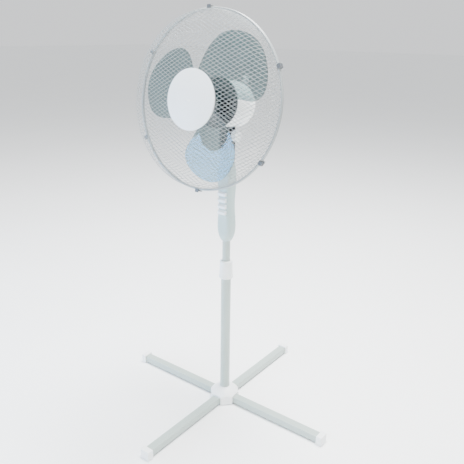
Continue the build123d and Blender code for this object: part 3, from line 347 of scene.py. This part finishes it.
def lattice_tree(material):
    """Diamond lattice drawn flat, then pressed on to the guard's profile curve.

    The input curve holds the profile as (radius, 0, height) from the inner to the outer edge.
    """
    tree = Tree("diamond_lattice", {"Cell Width": 0.018, "Cell Height": 0.009, "Strand": 0.0005,
                                    "Step": 0.005, "Inner": 0.06, "Outer": 0.2})
    value = tree.source.outputs
    angle = tree.math("ARCTANGENT", tree.math("DIVIDE", value["Cell Height"], value["Cell Width"]))
    spacing = tree.math("MULTIPLY", value["Cell Height"], tree.math("COSINE", angle))
    rows = tree.math("FLOOR", tree.math("DIVIDE", value["Outer"], spacing))
    count = tree.math("ADD", tree.math("MULTIPLY", rows, 2.0), 1.0)
    first = tree.math("MULTIPLY", tree.math("MULTIPLY", rows, spacing), -1.0)
    start = tree.node("ShaderNodeCombineXYZ", Y=first)
    offset = tree.node("ShaderNodeCombineXYZ", Y=spacing)
    line = tree.node("GeometryNodeMeshLine", {"mode": "OFFSET"}, Count=count,
                     Start_Location=start.outputs[0], Offset=offset.outputs[0])
    place = tree.node("GeometryNodeInputPosition").outputs[0]
    split = tree.node("ShaderNodeSeparateXYZ", Vector=place)
    outer_square = tree.math("MULTIPLY", value["Outer"], value["Outer"])
    row_square = tree.math("MULTIPLY", split.outputs["Y"], split.outputs["Y"])
    chord_square = tree.math("MAXIMUM", tree.math("SUBTRACT", outer_square, row_square), 0.0)
    half_chord = tree.math("SQRT", chord_square)
    strand = tree.node("GeometryNodeCurvePrimitiveLine", Start=(-1, 0, 0), End=(1, 0, 0))
    scale = tree.node("ShaderNodeCombineXYZ", X=half_chord, Y=1.0, Z=1.0)
    strands = tree.node("GeometryNodeInstanceOnPoints", Points=line.outputs[0], Instance=strand.outputs[0],
                        Scale=scale.outputs[0])
    laid = tree.node("GeometryNodeRealizeInstances", Geometry=strands.outputs[0])
    both = tree.group.nodes.new("GeometryNodeJoinGeometry")
    for side in (1.0, -1.0):
        turn = tree.node("ShaderNodeCombineXYZ", Z=tree.math("MULTIPLY", angle, side))
        turned = tree.node("GeometryNodeTransform", Geometry=laid.outputs[0], Rotation=turn.outputs[0])
        tree.group.links.new(turned.outputs[0], both.inputs[0])
    fine = tree.node("GeometryNodeResampleCurve", {"mode": "LENGTH"}, Curve=both.outputs[0],
                     Length=value["Step"])
    reach = tree.node("ShaderNodeVectorMath", {"operation": "LENGTH"})
    tree.group.links.new(place, reach.inputs[0])
    inside = tree.node("FunctionNodeCompare", {"operation": "LESS_THAN"})
    tree.feed(inside.inputs[0], reach.outputs["Value"])
    tree.feed(inside.inputs[1], value["Inner"])
    open_lattice = tree.node("GeometryNodeDeleteGeometry", {"domain": "POINT"}, Geometry=fine.outputs[0],
                             Selection=inside.outputs[0])
    along = tree.math("MAXIMUM", tree.math("SUBTRACT", reach.outputs["Value"], value["Inner"]), 0.0)
    profile = tree.node("GeometryNodeSampleCurve", {"mode": "LENGTH", "use_all_curves": True},
                        Curves=value["Geometry"], Length=along)
    on_profile = tree.node("ShaderNodeSeparateXYZ", Vector=profile.outputs["Position"])
    unit = tree.node("ShaderNodeVectorMath", {"operation": "NORMALIZE"})
    tree.group.links.new(place, unit.inputs[0])
    outward = tree.node("ShaderNodeVectorMath", {"operation": "SCALE"})
    tree.group.links.new(unit.outputs[0], outward.inputs[0])
    tree.feed(outward.inputs["Scale"], on_profile.outputs["X"])
    lift = tree.node("ShaderNodeCombineXYZ", Z=on_profile.outputs["Z"])
    pressed_place = tree.node("ShaderNodeVectorMath", {"operation": "ADD"})
    tree.group.links.new(outward.outputs[0], pressed_place.inputs[0])
    tree.group.links.new(lift.outputs[0], pressed_place.inputs[1])
    pressed = tree.node("GeometryNodeSetPosition", Geometry=open_lattice.outputs[0],
                        Position=pressed_place.outputs[0])
    section = tree.node("GeometryNodeCurvePrimitiveCircle", Resolution=5, Radius=value["Strand"])
    wires = tree.node("GeometryNodeCurveToMesh", Curve=pressed.outputs[0],
                      Profile_Curve=section.outputs[0])
    tree.feed(wires.inputs["Fill Caps"], True)
    smooth = tree.node("GeometryNodeSetShadeSmooth", Geometry=wires.outputs[0])
    tree.finish(smooth.outputs[0], material)
    return tree


def profile_curve(name, points):
    """Poly curve through (radius, height) points in millimetres, rounded by a smooth spline."""
    data = bpy.data.curves.new(name, "CURVE")
    data.dimensions = "3D"
    spline = data.splines.new("NURBS")
    spline.points.add(len(points) - 1)
    for point, (radius, height) in zip(spline.points, points):
        point.co = (radius * MM, 0, height * MM, 1)
    spline.order_u = 3
    spline.use_endpoint_u = True
    spline.resolution_u = 12
    made = bpy.data.objects.new(name, data)
    bpy.context.scene.collection.objects.link(made)
    return made


def evaluated_copy(source, name, matrix):
    """Plain mesh object from an evaluated object, put in place; the source is removed."""
    graph = bpy.context.evaluated_depsgraph_get()
    mesh = bpy.data.meshes.new_from_object(source.evaluated_get(graph), depsgraph=graph)
    bpy.data.objects.remove(source)
    mesh.name = name
    mesh.transform(matrix)
    made = bpy.data.objects.new(name, mesh)
    bpy.context.scene.collection.objects.link(made)
    return made


def run_tree(source, tree, values, name, matrix):
    """Run a geometry tree on an object with named input values and keep the plain result."""
    modifier = source.modifiers.new("tree", "NODES")
    modifier.node_group = tree.group
    for label, value in values.items():
        modifier[tree.ids[label]] = value
    bpy.context.view_layer.update()
    return evaluated_copy(source, name, matrix)


def curve_length(curve_object):
    """Length of an evaluated curve, in metres."""
    graph = bpy.context.evaluated_depsgraph_get()
    mesh = bpy.data.meshes.new_from_object(curve_object.evaluated_get(graph), depsgraph=graph)
    return sum((mesh.vertices[edge.vertices[0]].co - mesh.vertices[edge.vertices[1]].co).length
               for edge in mesh.edges)


MATERIALS = {}


# ------------------------------------------------------------------ operators
class PF_OT_finishes(bpy.types.Operator):
    """Give every CAD node the finish of its material slot, and the housing a darker greenish copy of the
    white plastic as painted shade
    """
    bl_idname = "fan.finishes"
    bl_label = "Finishes"

    def execute(self, context):
        scene = context.scene
        MATERIALS.update(slot_materials(scene.fan_finish, scene.fan_guard))
        for row in frame["record"]["subparts"]:
            node = frame["nodes"][row["node"]]
            node.data.materials.clear()
            # Housing nodes take the painted-shade copy of the white plastic
            painted_shade = row["node"] in PAINTED_SHADE_NODES
            node.data.materials.append(MATERIALS["white_plastic_painted_shade" if painted_shade else row["material_slot"]])
        return {"FINISHED"}


class PF_OT_guards(bpy.types.Operator):
    """Draw the diamond lattice of the front and rear guards"""
    bl_idname = "fan.guards"
    bl_label = "Guard lattice"

    def execute(self, context):
        guard = context.scene.fan_guard
        tree = lattice_tree(MATERIALS["guard_wire"])
        for name, points in (("front_guard_mesh", FRONT_PROFILE), ("rear_guard_mesh", REAR_PROFILE)):
            source = profile_curve(name + "_profile", points)
            inner = points[0][0] * MM
            values = {"Cell Width": guard.cell_width, "Cell Height": guard.cell_height,
                      "Strand": guard.strand, "Step": guard.step, "Inner": inner,
                      "Outer": inner + curve_length(source)}
            lattice = run_tree(source, tree, values, name + "_lattice", RING)
            if len(lattice.data.polygons) < LEAST_LATTICE_FACES:
                raise RuntimeError(f"{lattice.name} came out empty")
            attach(lattice, "head")
            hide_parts(name)
        return {"FINISHED"}


class PF_OT_stage(bpy.types.Operator):
    """Pale floor, soft lights and the camera"""
    bl_idname = "fan.stage"
    bl_label = "Stage"

    def execute(self, context):
        stage = context.scene.fan_stage
        bpy.ops.mesh.primitive_plane_add(size=FLOOR_SIZE, location=(0, 0, FLOOR_LEVEL))
        floor = context.object
        floor.name = "floor"
        material, tree, shader = new_material("floor_paint", stage.floor, 0.7)
        vary_colour(tree, shader, stage.floor, 2, 0.01)
        grain(tree, shader, 90, 0.0002)
        floor.data.materials.append(material)
        world = context.scene.world or bpy.data.worlds.new("studio")
        context.scene.world = world
        world.use_nodes = True
        background = world.node_tree.nodes["Background"]
        background.inputs["Color"].default_value = (*SKY_TINT, 1)
        background.inputs["Strength"].default_value = stage.brightness
        for name, place, size, power, tint in LIGHTS:
            data = bpy.data.lights.new(name, "AREA")
            data.size = size
            data.energy = power
            data.color = tint
            lamp = bpy.data.objects.new(name, data)
            lamp.location = place
            lamp.rotation_euler = (LIGHT_TARGET - Vector(place)).to_track_quat("-Z", "Y").to_euler()
            context.scene.collection.objects.link(lamp)
        data = bpy.data.cameras.new("camera")
        data.lens = stage.lens
        data.sensor_width = SENSOR_WIDTH
        camera = bpy.data.objects.new("camera", data)
        turn = (Matrix.Rotation(stage.azimuth, 4, "Z")
                @ Matrix.Rotation(math.pi / 2 - stage.elevation, 4, "X")
                @ Matrix.Rotation(stage.roll, 4, "Z"))
        camera.matrix_world = Matrix.Translation(CAMERA_PLACE) @ turn
        context.scene.collection.objects.link(camera)
        context.scene.camera = camera
        return {"FINISHED"}


class PF_PT_panel(bpy.types.Panel):
    """Sidebar list of the fan's operators and settings"""
    bl_label = "Pedestal fan"
    bl_space_type = "VIEW_3D"
    bl_region_type = "UI"
    bl_category = "Pedestal fan"

    def draw(self, context):
        for operator in OPERATORS:
            self.layout.operator(operator.bl_idname)
        scene = context.scene
        for settings in (scene.fan_guard, scene.fan_finish, scene.fan_stage):
            for name in settings.__annotations__:
                self.layout.prop(settings, name)


SETTINGS = {"fan_guard": PF_GuardSettings, "fan_finish": PF_FinishSettings, "fan_stage": PF_StageSettings}
OPERATORS = [PF_OT_finishes, PF_OT_guards, PF_OT_stage]


def register():
    for item in [*SETTINGS.values(), *OPERATORS, PF_PT_panel]:
        bpy.utils.register_class(item)
    for name, group in SETTINGS.items():
        setattr(bpy.types.Scene, name, bpy.props.PointerProperty(type=group))


def unregister():
    for name in SETTINGS:
        delattr(bpy.types.Scene, name)
    for item in reversed([*SETTINGS.values(), *OPERATORS, PF_PT_panel]):
        bpy.utils.unregister_class(item)


def main():
    register()
    for name in [item.name for item in bpy.data.objects if item.name in ("Cube", "Light", "Camera")]:
        bpy.data.objects.remove(bpy.data.objects[name])
    bpy.ops.fan.finishes()
    bpy.ops.fan.guards()
    bpy.ops.fan.stage()


if __name__ == "__main__":
    main()
